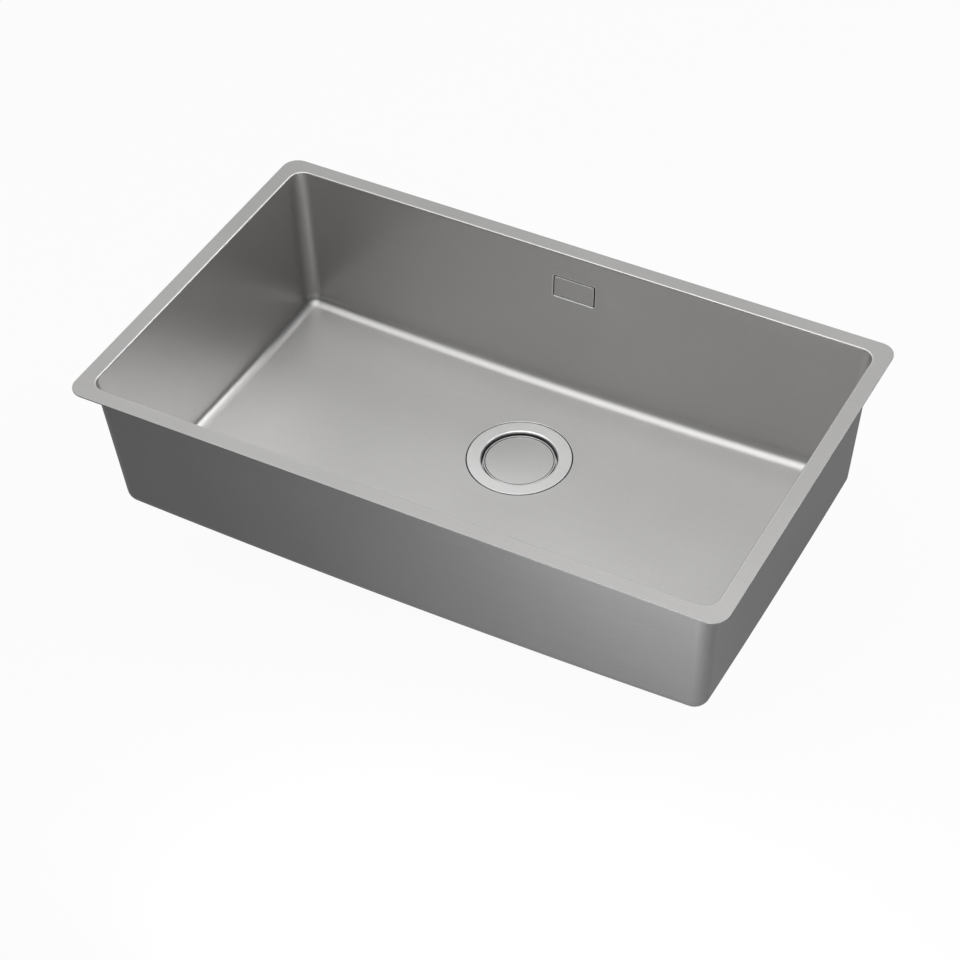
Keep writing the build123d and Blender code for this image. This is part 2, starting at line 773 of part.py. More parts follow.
def union_pieces(start, name):
    # start is the spigot's end face, looking along the hose
    with BuildPart() as washer:
        with BuildSketch(start):
            Circle(spigot_radius)
            Circle(hose_bore_diameter / 2, mode=Mode.SUBTRACT)
        extrude(amount=washer_thickness)
    washer.part.label = name + "_hose_washer"
    with BuildPart() as nut:
        half = union_nut_length / 2
        with BuildSketch(start.offset(-half)):
            Circle(union_nut_radius)
            with PolarLocations(union_nut_radius + union_flute_radius / 2, union_flute_count):
                Circle(union_flute_radius, mode=Mode.SUBTRACT)
            Circle(spigot_radius + union_nut_clearance, mode=Mode.SUBTRACT)
        extrude(amount=half + washer_thickness + union_nut_clearance)
        with BuildSketch(start.offset(washer_thickness + union_nut_clearance)):
            Circle(union_nut_radius)
            with PolarLocations(union_nut_radius + union_flute_radius / 2, union_flute_count):
                Circle(union_flute_radius, mode=Mode.SUBTRACT)
            Circle(hose_diameter / 2 + union_nut_clearance, mode=Mode.SUBTRACT)
        extrude(amount=half - washer_thickness - union_nut_clearance)
    nut.part.label = name + "_hose_nut"
    return washer.part, nut.part


upper_union = Plane(origin=(0, hose_y, upper_spigot_end), x_dir=(1, 0, 0), z_dir=(0, 0, -1))
lower_union = Plane(
    origin=(0, drain_offset + lower_spigot_reach, lower_spigot_level),
    x_dir=(1, 0, 0),
    z_dir=(0, 1, 0),
)
for union_plane, union_name in ((upper_union, "upper"), (lower_union, "lower")):
    for piece in union_pieces(union_plane, union_name):
        export_step(piece, "parts/" + piece.label + ".step")
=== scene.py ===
import bpy
import bmesh
import math
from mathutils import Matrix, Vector
from mathutils.geometry import tessellate_polygon


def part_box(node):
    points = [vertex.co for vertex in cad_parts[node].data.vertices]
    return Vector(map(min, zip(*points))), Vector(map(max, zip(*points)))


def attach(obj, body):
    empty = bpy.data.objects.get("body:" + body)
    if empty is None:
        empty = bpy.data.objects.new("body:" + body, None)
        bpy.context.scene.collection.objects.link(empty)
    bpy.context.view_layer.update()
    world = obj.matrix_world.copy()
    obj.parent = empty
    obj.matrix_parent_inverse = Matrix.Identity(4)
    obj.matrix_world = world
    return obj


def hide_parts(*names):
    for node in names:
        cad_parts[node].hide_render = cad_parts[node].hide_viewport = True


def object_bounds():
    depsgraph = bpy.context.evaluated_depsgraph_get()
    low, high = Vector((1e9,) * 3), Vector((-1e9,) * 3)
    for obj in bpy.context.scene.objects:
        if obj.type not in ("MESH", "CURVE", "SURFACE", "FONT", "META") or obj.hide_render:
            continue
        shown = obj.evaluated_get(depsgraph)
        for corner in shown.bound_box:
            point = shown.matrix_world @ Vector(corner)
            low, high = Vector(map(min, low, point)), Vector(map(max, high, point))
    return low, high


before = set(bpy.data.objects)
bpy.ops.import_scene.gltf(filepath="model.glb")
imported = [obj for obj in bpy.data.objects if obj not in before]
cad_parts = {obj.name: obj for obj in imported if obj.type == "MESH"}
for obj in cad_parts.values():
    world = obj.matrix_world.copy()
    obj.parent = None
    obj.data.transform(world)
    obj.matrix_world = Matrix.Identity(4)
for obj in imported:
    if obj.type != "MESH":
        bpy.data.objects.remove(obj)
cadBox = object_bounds()
print("stage 1: packed sink loaded, nodes", len(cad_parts))


# camera

cameraSettings = {
    "sensor": 36,  # width, mm
    "lens": 97.39,
    "place": (0.9816, -1.7350, 1.7565),
    "tilt": 46.18,  # degrees up from straight down
    "turn": 26.62,  # degrees round from looking along +Y
    "shift": -0.1083,
    "clip": (0.05, 30),
}


def makeCamera(settings):
    data = bpy.data.cameras.new("sinkCamera")
    data.sensor_width = settings["sensor"]
    data.lens = settings["lens"]
    data.shift_x = settings["shift"]
    data.clip_start, data.clip_end = settings["clip"]
    camera = bpy.data.objects.new("sinkCamera", data)
    camera.location = settings["place"]
    camera.rotation_euler = (math.radians(settings["tilt"]), 0, math.radians(settings["turn"]))
    bpy.context.scene.collection.objects.link(camera)
    bpy.context.scene.camera = camera


makeCamera(cameraSettings)
bpy.context.scene.view_settings.view_transform = "Standard"
print("stage 2: camera placed")


# node helpers

def newMaterial(name):
    material = bpy.data.materials.new(name)
    material.use_nodes = True
    shader = material.node_tree.nodes["Principled BSDF"]
    return material, material.node_tree, shader


def addNode(tree, kind, **values):
    # values are the node's own settings or its input sockets
    node = tree.nodes.new(kind)
    for key, value in values.items():
        if hasattr(node, key):
            setattr(node, key, value)
        else:
            node.inputs[key].default_value = value
    return node


def link(tree, source, target):
    tree.links.new(source, target)


def addMath(tree, operation, *feeds, **values):
    # feeds are plain numbers or the sockets that bring them
    node = addNode(tree, "ShaderNodeMath", operation=operation, **values)
    for k, feed in enumerate(feeds):
        if isinstance(feed, (int, float)):
            node.inputs[k].default_value = feed
        else:
            link(tree, feed, node.inputs[k])
    return node.outputs["Value"]


def addRange(tree, source, fromSpan, toSpan, **values):
    node = addNode(tree, "ShaderNodeMapRange", **values)
    for socket, value in zip(("From Min", "From Max", "To Min", "To Max"), fromSpan + toSpan):
        node.inputs[socket].default_value = value
    link(tree, source, node.inputs["Value"])
    return node.outputs["Result"]


def addNoise(tree, place, scale, detail, roughness):
    noise = addNode(tree, "ShaderNodeTexNoise", Scale=scale, Detail=detail, Roughness=roughness)
    link(tree, place, noise.inputs["Vector"])
    return noise.outputs["Fac"]


def addBump(tree, height, shader, strength, distance):
    bump = addNode(tree, "ShaderNodeBump", Strength=strength, Distance=distance)
    link(tree, height, bump.inputs["Height"])
    link(tree, bump.outputs["Normal"], shader.inputs["Normal"])


# brushed stainless

steelLooks = {
    "insideSteel": {
        "tone": (0.53, 0.526, 0.522), "rough": 0.5, "upright": -0.15,
        "grain": 0.012, "speck": 0.02, "bump": 0.008,
    },
    # a darker copy of the inside steel for the flange top: painted shade
    "flangePaintedShadeSteel": {
        "tone": (0.415, 0.411, 0.407), "rough": 0.42,
        "grain": 0.02, "speck": 0.03, "bump": 0.015,
    },
    # a much darker copy of the same steel for the bowl's outside and the flange's edge: painted shade
    "outsidePaintedShadeSteel": {
        "tone": (0.12, 0.12, 0.121), "rough": 0.45, "metal": 0.85,
        "grain": 0.03, "speck": 0.03, "bump": 0.015,
    },
    "ringSteel": {
        "tone": (0.85, 0.85, 0.845), "rough": 0.31,
        "grain": 0.015, "speck": 0.015, "bump": 0.012,
    },
    "lidSteel": {
        "tone": (0.64, 0.64, 0.635), "rough": 0.33,
        "grain": 0.02, "speck": 0.02, "bump": 0.015,
    },
    # near-black and not metal: painted shade in the overflow pocket's walls and the cover's groove
    "groovePaintedShade": {
        "tone": (0.02, 0.02, 0.02), "rough": 0.7, "metal": 0.0,
        "grain": 0.02, "speck": 0.015, "bump": 0.012,
    },
    # a darker copy of the steel: painted shade in the ring's throat and on the cover's skirt and
    # underside
    "throatPaintedShade": {
        "tone": (0.25, 0.25, 0.25), "rough": 0.4,
        "grain": 0.015, "speck": 0.015, "bump": 0.012,
    },
    "fixingSteel": {
        "tone": (0.55, 0.55, 0.55), "rough": 0.33,
        "grain": 0.03, "speck": 0.02, "bump": 0.03,
    },
}
brushing = {
    "strokes": (6, 600),  # along and across them, per metre
    "strokeNoise": (3, 0.55),  # detail and roughness
    "specks": 420,
    "speckNoise": (3, 0.6),
    "smudges": 7,
    "smudgeNoise": (2, 0.45),
    "smudgeTone": 0.02,
    "noiseSpan": (0.3, 0.7),  # part of a noise that gives the whole swing of tone
    "endWall": (0.6, 0.8),  # how squarely a wall faces along X while its strokes turn
    "strokeShare": 0.2,  # of the strokes in the roughness
    "roughSpan": (0.35, 0.95),
    "roughSwing": 0.02,
    "steep": (0.93, 0.5),  # how far a surface faces up, from level to upright
    "bumpHeight": 0.0001,
    "gloss": 0.2,
}


def makeSteel(name, look):
    material, tree, shader = newMaterial(name)
    place = addNode(tree, "ShaderNodeTexCoord").outputs["Object"]
    # strokes run along the wall they are on, so the end walls turn them
    facing = addNode(tree, "ShaderNodeNewGeometry")
    split = addNode(tree, "ShaderNodeSeparateXYZ")
    link(tree, facing.outputs["Normal"], split.inputs["Vector"])
    sideways = addMath(tree, "ABSOLUTE", split.outputs["X"])
    endWall = addRange(tree, sideways, brushing["endWall"], (0, 1), interpolation_type="SMOOTHSTEP")
    grain = addNode(tree, "ShaderNodeMix", data_type="FLOAT")
    link(tree, endWall, grain.inputs[0])
    along, across = brushing["strokes"]
    scales = ((along, across, across), (across, along, across))
    for scale, target in zip(scales, grain.inputs[2:4]):
        spread = addNode(tree, "ShaderNodeMapping", Scale=scale)
        link(tree, place, spread.inputs["Vector"])
        link(tree, addNoise(tree, spread.outputs["Vector"], 1, *brushing["strokeNoise"]), target)
    strokes = grain.outputs[0]
    speck = addNoise(tree, place, brushing["specks"], *brushing["speckNoise"])
    smudge = addNoise(tree, place, brushing["smudges"], *brushing["smudgeNoise"])
    # tone, a few percent up and down
    swings = ((strokes, look["grain"]), (speck, look["speck"]), (smudge, brushing["smudgeTone"]))
    total = 1.0
    for source, amount in swings:
        swing = addRange(tree, source, brushing["noiseSpan"], (-amount, amount), clamp=False)
        total = addMath(tree, "ADD", swing, total)
    grey = addNode(tree, "ShaderNodeCombineColor")
    for channel in ("Red", "Green", "Blue"):
        link(tree, total, grey.inputs[channel])
    tint = addNode(tree, "ShaderNodeMix", data_type="RGBA", blend_type="MULTIPLY")
    tint.inputs[0].default_value = 1.0
    tint.inputs[6].default_value = look["tone"] + (1,)
    link(tree, grey.outputs["Color"], tint.inputs[7])
    link(tree, tint.outputs[2], shader.inputs["Base Color"])
    # roughness follows the smudges and, a little, the strokes
    faint = addMath(tree, "MULTIPLY", strokes, brushing["strokeShare"])
    both = addMath(tree, "ADD", faint, smudge)
    span = (look["rough"] - brushing["roughSwing"], look["rough"] + brushing["roughSwing"])
    rough = addRange(tree, both, brushing["roughSpan"], span, clamp=False)
    # upright walls are drawn smoother than the level floor
    span = (0, look.get("upright", 0))
    steep = addRange(tree, split.outputs["Z"], brushing["steep"], span, interpolation_type="SMOOTHSTEP")
    link(tree, addMath(tree, "ADD", rough, steep), shader.inputs["Roughness"])
    addBump(tree, strokes, shader, look["bump"], brushing["bumpHeight"])
    shader.inputs["Metallic"].default_value = look.get("metal", 1.0)
    shader.inputs["Specular IOR Level"].default_value = brushing["gloss"]
    return material


# rubber, foam and mouldings

softLooks = {
    "sealRubber": {
        "tone": (0.016, 0.016, 0.017), "rough": 0.7, "speck": 700, "bump": 0.12, "gloss": 0.2,
    },
    "stripFoam": {"tone": (0.05, 0.05, 0.052), "rough": 0.9, "speck": 1500, "bump": 0.5},
    "dampingPad": {"tone": (0.06, 0.06, 0.063), "rough": 0.8, "speck": 500, "bump": 0.5},
    "paleMoulding": {"tone": (0.72, 0.72, 0.70), "rough": 0.42, "speck": 900, "bump": 0.06},
    "darkMoulding": {"tone": (0.03, 0.03, 0.031), "rough": 0.42, "speck": 900, "bump": 0.06},
    "hosePlastic": {"tone": (0.62, 0.62, 0.60), "rough": 0.45, "speck": 700, "bump": 0.05},
}
moulding = {
    "speckNoise": (4, 0.6),  # detail and roughness
    "clouds": 22,  # per metre
    "cloudNoise": (3, 0.5),
    "cloudSpan": (0.35, 0.65),
    "cloudTone": (0.9, 1.08),  # of the written tone, darkest and lightest
    "roughSwing": 0.06,
    "bumpHeight": 0.0002,
    "gloss": 0.5,
}


def makeMoulded(name, look):
    material, tree, shader = newMaterial(name)
    place = addNode(tree, "ShaderNodeTexCoord").outputs["Object"]
    speck = addNoise(tree, place, look["speck"], *moulding["speckNoise"])
    clouds = addNoise(tree, place, moulding["clouds"], *moulding["cloudNoise"])
    toneRamp = addNode(tree, "ShaderNodeValToRGB")
    for k, (position, share) in enumerate(zip(moulding["cloudSpan"], moulding["cloudTone"])):
        toneRamp.color_ramp.elements[k].position = position
        toneRamp.color_ramp.elements[k].color = tuple(c * share for c in look["tone"]) + (1,)
    link(tree, clouds, toneRamp.inputs["Fac"])
    link(tree, toneRamp.outputs["Color"], shader.inputs["Base Color"])
    span = (look["rough"] - moulding["roughSwing"], look["rough"] + moulding["roughSwing"])
    link(tree, addRange(tree, speck, (0, 1), span), shader.inputs["Roughness"])
    addBump(tree, speck, shader, look["bump"], moulding["bumpHeight"])
    shader.inputs["Specular IOR Level"].default_value = look.get("gloss", moulding["gloss"])
    return material


finishes = {}
for finishName, look in steelLooks.items():
    finishes[finishName] = makeSteel(finishName, look)
for finishName, look in softLooks.items():
    finishes[finishName] = makeMoulded(finishName, look)
print("stage 3: finishes mixed,", len(finishes))


# mesh helpers: rings of points skinned into faces, each corner with its true normal

mm = 0.001
upwards = Vector((0, 0, 1))


class Skin:
    def __init__(self):
        self.points = []
        self.faces = []
        self.normals = []
        self.finishOf = []
        self.finish = 0

    def addRing(self, places):
        first = len(self.points)
        self.points += [(x * mm, y * mm, z * mm) for x, y, z in places]
        return list(range(first, len(self.points)))

    def addFace(self, corners, normals):
        # turned over when it faces away from its normals
        flat = [Vector(self.points[c]) for c in corners]
        facing = (flat[1] - flat[0]).cross(flat[-1] - flat[0])
        facing += (flat[2] - flat[1]).cross(flat[0] - flat[1])
        if facing.dot(sum((Vector(n) for n in normals), Vector())) < 0:
            corners = corners[::-1]
            normals = normals[::-1]
        self.faces.append(corners)
        self.finishOf.append(self.finish)
        self.normals += [tuple(n) for n in normals]

    def addStrip(self, ringA, ringB, normalsA, normalsB, skip=()):
        count = len(ringA)
        for i in range(count):
            if i in skip:
                continue
            j = (i + 1) % count
            self.addFace(
                [ringA[i], ringA[j], ringB[j], ringB[i]],
                [normalsA[i], normalsA[j], normalsB[j], normalsB[i]],
            )

    def addFlat(self, loops, normal):
        # a flat face with holes; the first loop is its outline
        places = [[Vector(self.points[index]) / mm for index in loop] for loop in loops]
        flat = [index for loop in loops for index in loop]
        for triangle in tessellate_polygon(places):
            self.addFace([flat[corner] for corner in triangle], [normal] * 3)

    def addCollar(self, outer, inner, normal, centre):
        # triangles between two flat loops with different counts, joined by their shortest gaps
        up = normal.cross(Vector((1, 0, 0))).normalized()
        side = up.cross(normal).normalized()

        def bearing(index):
            offset = Vector(self.points[index]) - centre
            return math.atan2(offset.dot(up), offset.dot(side))

        def gap(i, j):
            outerPlace = Vector(self.points[outer[i % len(outer)]])
            innerPlace = Vector(self.points[inner[j % len(inner)]])
            return (outerPlace - innerPlace).length

        outer = sorted(outer, key=bearing)
        inner = sorted(inner, key=bearing)
        first = min(range(len(inner)), key=lambda j: gap(0, j))
        last = first + len(inner)
        a, b = 0, first
        while a < len(outer) or b < last:
            corners = [outer[a % len(outer)], inner[b % len(inner)]]
            if b >= last or (a < len(outer) and gap(a + 1, b) <= gap(a, b + 1)):
                a += 1
                corners.append(outer[a % len(outer)])
            else:
                b += 1
                corners.append(inner[b % len(inner)])
            self.addFace(corners, [normal] * 3)

    def makeObject(self, name, finishNames, body, slot, *nodes):
        mesh = bpy.data.meshes.new(name)
        mesh.from_pydata(self.points, [], self.faces)
        for finishName in finishNames:
            mesh.materials.append(finishes[finishName])
        mesh.polygons.foreach_set("material_index", self.finishOf)
        mesh.polygons.foreach_set("use_smooth", [True] * len(mesh.polygons))
        mesh.normals_split_custom_set(self.normals)
        mesh.update()
        piece = bpy.data.objects.new(name, mesh)
        bpy.context.scene.collection.objects.link(piece)
        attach(piece, body)
        if nodes:
            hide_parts(*nodes)


def columnsRound(alongLong, alongShort, roundCorner):
    # for each column of a rounded rectangle, the corner it leans on and its outward direction
    columns = []
    sides = [
        ((-1, -1), (1, -1), -90),
        ((1, -1), (1, 1), 0),
        ((1, 1), (-1, 1), 90),
        ((-1, 1), (-1, -1), 180),
    ]
    for number, (start, end, angle) in enumerate(sides):
        steps = alongLong if number % 2 == 0 else alongShort
        turn = math.radians(angle)
        outward = (math.cos(turn), math.sin(turn))
        for k in range(steps):
            part = k / steps
            lean = (start[0] + (end[0] - start[0]) * part, start[1] + (end[1] - start[1]) * part)
            columns.append((lean, outward))
        for k in range(roundCorner):
            turn = math.radians(angle + 90 * k / roundCorner)
            columns.append((end, (math.cos(turn), math.sin(turn))))
    return columns


def roundedRectangle(columns, length, width, radius):
    # plan points of a rounded rectangle, in the order of its columns
    plan = []
    for lean, outward in columns:
        x = lean[0] * (length / 2 - radius) + outward[0] * radius
        y = lean[1] * (width / 2 - radius) + outward[1] * radius
        plan.append((x, y))
    return plan


def quarterTurn(steps):
    # angles of a quarter turn, both ends included
    return [math.radians(90 * step / steps) for step in range(steps + 1)]


def arcBetween(start, end, part):
    # direction between two unit directions
    angle = start.angle(end)
    if angle < 1e-6:  # the same direction
        return start.copy()
    return (start * math.sin((1 - part) * angle) + end * math.sin(part * angle)) / math.sin(angle)


# pressed bowl

bowlForm = {
    "flange": (730, 440, 18),  # length, width and corner radius, mm
    "opening": (694, 404, 15.5),
    "sheet": 1.2,
    "top": 2.4,
    "draft": 3.9,  # degrees
    "depth": 181,
    "edgeRound": 0.35,
    "edgeSteps": 3,
    "rimBend": (1.8, 8),  # radius and steps
    "underBend": (0.8, 4),
    "floorFillet": 14,
    "filletSteps": (10, 8),  # inside and outside
    "rollTries": 12,
    "dish": (8000, 3500),  # radii along and across the bowl
    "dishSteps": (14, 10),
    "drain": (0, 67),
    "recess": (58.4, 1.8, 0.4),  # radius, depth and edge radius
    "hole": 45,
    "wallLevels": (-134, -112, -88, -66, -24, -12),
    "window": (-66, -24),  # levels of the gap in the back wall's grid, round the overflow
    "windowReach": 36,
    "columns": (72, 44, 12),  # along the long side, the short side and each corner
    "pocket": (50, 27, 2, 3, 1.2),  # length, height, corner radius, depth and edge radius
    "pocketColumns": (10, 6, 8),
    "pocketSteps": 4,
    "throat": (40, 17, 2),
    "overflowDrop": 44.7,
    "finishes": ("insideSteel", "flangePaintedShadeSteel", "outsidePaintedShadeSteel", "ringSteel", "groovePaintedShade"),
}


def overflowPlane(form):
    # middle of the overflow on the tapered back wall, and that wall's own directions
    tilt = math.radians(form["draft"])
    drop = form["overflowDrop"]
    across = Vector((1, 0, 0))
    downwards = Vector((0, -math.sin(tilt), -math.cos(tilt)))
    inwards = Vector((0, math.cos(tilt), -math.sin(tilt)))
    middle = Vector((0, form["opening"][1] / 2 - drop * math.tan(tilt), form["top"] - drop))
    return middle, across, downwards, inwards


def makeBowl(form):
    skin = Skin()
    columns = columnsRound(*form["columns"])
    every = range(len(columns))
    tilt = math.radians(form["draft"])
    slope = math.tan(tilt)
    drain = Vector(form["drain"])
    sheet = form["sheet"]
    top = form["top"]
    under = top - sheet
    bottom = top - form["depth"]
    rings = []  # (points, normals towards the ring before, normals towards the ring after)

    def add(places, before, after=None):
        rings.append((places, before, after or before))

    def wallPoint(column, z, grow):
        lean, outward = column
        length, width, radius = form["opening"]
        inset = (top - z) * slope
        x = lean[0] * (length / 2 - inset - radius) + outward[0] * (radius + grow)
        y = lean[1] * (width / 2 - inset - radius) + outward[1] * (radius + grow)
        return Vector((x, y, z))

    def wallOut(column):
        # outward direction of the tapered wall, leaning down
        x, y = column[1]
        return Vector((x, y, -slope * (abs(x) + abs(y)))).normalized()

    def floorHeight(x, y, grow):
        long, short = form["dish"]
        long += grow
        short += grow
        across = y - drain.y
        rise = x * x / (2 * long) + short - math.sqrt(short * short - across * across)
        return bottom - grow + rise

    def floorUp(x, y, grow):
        long, short = form["dish"]
        return Vector((-x / (long + grow), -(y - drain.y) / (short + grow), 1)).normalized()

    def filletRows(grow, steps):
        # a ball rolled along the foot of the wall
        radius = form["floorFillet"] + grow
        centres, starts, ends = [], [], []
        for column in columns:
            out = wallOut(column)
            z = bottom + radius
            for _ in range(form["rollTries"]):
                centre = wallPoint(column, z, grow) - out * radius
                up = floorUp(centre.x, centre.y, grow)
                z += radius - (centre.z - floorHeight(centre.x, centre.y, grow)) * up.z
            centres.append(centre)
            starts.append(out)
            ends.append(-floorUp(centre.x, centre.y, grow))
        rows = []
        for step in range(steps + 1):
            ways = [arcBetween(ends[i], starts[i], step / steps) for i in every]
            rows.append(([centres[i] + ways[i] * radius for i in every], ways))
        return rows

    def bendRows(level, radius, grow, sign, steps):
        # the bend between a level face and the wall; sign is +1 over the flange and -1 under it
        rows = []
        for step in range(steps + 1):
            places, ways = [], []
            for column in columns:
                out = wallOut(column)
                centre = wallPoint(column, level - radius - radius * out.z, grow) + out * radius
                ends = (-out, upwards) if sign > 0 else (upwards, -out)
                way = arcBetween(*ends, step / steps)
                places.append(centre + way * radius)
                ways.append(way * sign)
            rows.append((places, ways))
        return rows

    inner = filletRows(0, form["filletSteps"][0])
    outer = filletRows(sheet, form["filletSteps"][1])
    innerFoot = inner[0][0]
    outerFoot = outer[0][0]

    def circle(radius):
        # points round the drain, each in line with its column's foot
        plan = []
        for i in every:
            foot = Vector((innerFoot[i].x, innerFoot[i].y)) - drain
            plan.append(drain + foot.normalized() * radius)
        return plan

    def radial(plan, sign):
        return [(p - drain).to_3d().normalized() * sign for p in plan]

    def levelRing(plan, z):
        return [(x, y, z) for x, y in plan]

    def dishRows(feet, edgeRadius, grow, sign, steps):
        # the dished floor between the drain's recess and the fillet
        edgePlan = circle(edgeRadius)
        rows = []
        for step in range(steps + 1):
            part = step / steps
            places, ways = [], []
            for i in every:
                x = edgePlan[i].x + (feet[i].x - edgePlan[i].x) * part
                y = edgePlan[i].y + (feet[i].y - edgePlan[i].y) * part
                places.append((x, y, floorHeight(x, y, grow)))
                ways.append(floorUp(x, y, grow) * sign)
            rows.append((places, ways))
        return rows

    ups = [upwards] * len(columns)
    downs = [-upwards] * len(columns)
    outs = [wallOut(column) for column in columns]
    sides = [Vector(outward).to_3d() for lean, outward in columns]
    windowRings = []

    # from the drain hole outwards: recess, dish, fillet, wall, rim bend, flange
    recessRadius, recessDepth, recessEdge = form["recess"]
    recessFloor = bottom - recessDepth
    hole = circle(form["hole"])
    add(levelRing(hole, recessFloor), radial(hole, -1), ups)
    plan = circle(recessRadius)
    add(levelRing(plan, recessFloor), ups, radial(plan, -1))
    for turn in quarterTurn(form["edgeSteps"]):
        plan = circle(recessRadius + recessEdge * (1 - math.cos(turn)))
        ways = [upwards * math.sin(turn) - w * math.cos(turn) for w in radial(plan, 1)]
        drop = recessEdge * (1 - math.sin(turn))
        add([(p.x, p.y, floorHeight(p.x, p.y, 0) - drop) for p in plan], ways)
    recessRings = range(2, len(rings) - 1)
    innerSteps, outerSteps = form["dishSteps"]
    for places, ways in dishRows(innerFoot, recessRadius + recessEdge, 0, 1, innerSteps)[1:-1]:
        add(places, ways)
    for places, ways in inner:
        add(places, [-w for w in ways])
    for z in form["wallLevels"]:
        if z in form["window"]:
            windowRings.append(len(rings))
        add([wallPoint(c, z, 0) for c in columns], [-out for out in outs])
    radius, steps = form["rimBend"]
    for places, ways in bendRows(top, radius, 0, 1, steps):
        add(places, ways)
    rimRing = len(rings) - 1
    length, width, radius = form["flange"]
    edge = form["edgeRound"]
    for turn in quarterTurn(form["edgeSteps"]):
        grow = edge * (math.sin(turn) - 1)
        plan = roundedRectangle(columns, length + 2 * grow, width + 2 * grow, radius + grow)
        ways = [side * math.sin(turn) + upwards * math.cos(turn) for side in sides]
        add(levelRing(plan, top - edge * (1 - math.cos(turn))), ways)
    outsideRing = len(rings) - 3  # the lower two strips of the rounded edge take the outside's painted shade, a dark line along the flange's edge
    plan = roundedRectangle(columns, length, width, radius)
    add(levelRing(plan, under), sides, downs)
    # back inwards: underside of the flange, outer wall, fillet and dish
    radius, steps = form["underBend"]
    for places, ways in bendRows(under, radius, sheet, -1, steps):
        add(places, ways)
    for z in reversed(form["wallLevels"]):
        if z in form["window"]:
            windowRings.append(len(rings))
        add([wallPoint(c, z, sheet) for c in columns], outs)
    for places, ways in reversed(outer):
        add(places, ways)
    for places, ways in dishRows(outerFoot, recessRadius + sheet, sheet, -1, outerSteps)[-2:0:-1]:
        add(places, ways)
    plan = circle(recessRadius + sheet)
    lastDish = [-floorUp(p.x, p.y, sheet) for p in plan]
    add([(p.x, p.y, floorHeight(p.x, p.y, sheet)) for p in plan], lastDish, radial(plan, 1))
    add(levelRing(plan, recessFloor - sheet), radial(plan, 1), downs)
    add(levelRing(hole, recessFloor - sheet), downs, radial(hole, -1))

    # rim and outside are darker copies of the steel, painted shade; bright is the light ring steel,
    # painted highlights on rounded edges; dark is near-black painted shade
    inside, rim, outside, bright, dark = range(len(form["finishes"]))
    numbers = [skin.addRing(places) for places, before, after in rings]
    # columns of the back wall between which the overflow's pocket goes in
    level = rings[windowRings[0]][0]
    reach = form["windowReach"]
    windowColumns = [i for i in every if sides[i].y > 0.999 and abs(level[i].x) < reach]
    for k in range(len(rings)):
        n = (k + 1) % len(rings)
        skin.finish = inside
        # the recess's rounded edge takes the light ring steel, a painted highlight
        if k in recessRings:
            skin.finish = bright
        elif k >= outsideRing:
            skin.finish = outside
        elif k >= rimRing:
            skin.finish = rim
        skipped = windowColumns[:-1] if k in (windowRings[0], windowRings[2]) else ()
        skin.addStrip(numbers[k], numbers[n], rings[k][2], rings[n][1], skipped)

    # overflow pocket, in the back wall's own plane
    middle, across, downwards, inwards = overflowPlane(form)
    pocketColumns = columnsRound(*form["pocketColumns"])
    pocketRings = []

    def addPocket(size, depth, before, after):
        plan = roundedRectangle(pocketColumns, *size)
        places = [middle + across * x + downwards * y + inwards * depth for x, y in plan]
        pocketRings.append((skin.addRing(places), before, after))

    length, height, radius, depth, edge = form["pocket"]
    sideways = [across * x + downwards * y for lean, (x, y) in pocketColumns]
    innerSide = [-s for s in sideways]
    facing = [-inwards] * len(pocketColumns)
    behind = [inwards] * len(pocketColumns)
    for turn in quarterTurn(form["pocketSteps"]):
        grow = edge * (1 - math.sin(turn))
        ways = [-inwards * math.cos(turn) - s * math.sin(turn) for s in sideways]
        size = (length + 2 * grow, height + 2 * grow, radius + grow)
        addPocket(size, edge * (1 - math.cos(turn)), ways, ways)
    shell = (length + 2 * sheet, height + 2 * sheet, radius + sheet)
    addPocket((length, height, radius), depth, innerSide, facing)
    addPocket(form["throat"], depth, facing, innerSide)
    addPocket(form["throat"], depth + sheet, innerSide, behind)
    backRing = len(pocketRings) - 1
    addPocket(shell, depth + sheet, behind, sideways)
    addPocket(shell, sheet * math.cos(tilt), sideways, behind)
    # the pocket's rounded edge takes the light ring steel, a painted highlight, and its walls the
    # near-black painted shade
    for k, (start, end) in enumerate(zip(pocketRings, pocketRings[1:])):
        skin.finish = bright if k < form["pocketSteps"] else dark if k < backRing else outside
        skin.addStrip(start[0], end[0], start[2], end[1])
    for pair, loop, normal, finish in (
        (windowRings[0:2], pocketRings[0][0], -inwards, inside),
        (windowRings[2:4], pocketRings[-1][0], inwards, outside),
    ):
        skin.finish = finish
        frameLoop = [numbers[ring][i] for ring in pair for i in windowColumns]
        skin.addCollar(frameLoop, loop, normal, middle * mm)
    skin.makeObject("sinkBowl", form["finishes"], "bowl", "stainless", "sink_bowl")


makeBowl(bowlForm)
print("stage 4: bowl pressed")


# turned pieces: a profile of (radius, level, corner radius) with the metal on its left

drainPlace = bowlForm["drain"]
turnedSteps = {"bend": 6, "hole": 28}


def profileRows(corners, closed):
    rows = []  # (place, way facing out before it, way after it)
    for k, (radius, level, bend) in enumerate(corners):
        here = Vector((radius, level))
        arriving = here - Vector(corners[k - 1][:2])
        leaving = Vector(corners[(k + 1) % len(corners)][:2]) - here
        if not closed and k == 0:
            arriving = leaving
        if not closed and k == len(corners) - 1:
            leaving = arriving
        before = Vector((arriving.y, -arriving.x)).normalized()
        after = Vector((leaving.y, -leaving.x)).normalized()
        if not bend:
            rows.append((here, before, after))
            continue
        reach = bend * math.tan(before.angle(after) / 2)
        outer = 1 if arriving.x * leaving.y - arriving.y * leaving.x > 0 else -1
        centre = here - arriving.normalized() * reach - before * bend * outer
        steps = turnedSteps["bend"]
        for step in range(steps + 1):
            way = arcBetween(before.to_3d(), after.to_3d(), step / steps).to_2d()
            rows.append((centre + way * bend * outer, way, way))
    return rows


def circleOf(count, centre=(0, 0), radius=1.0):
    x, y = centre
    turns = [math.tau * k / count for k in range(count)]
    return [(x + radius * math.cos(turn), y + radius * math.sin(turn)) for turn in turns]


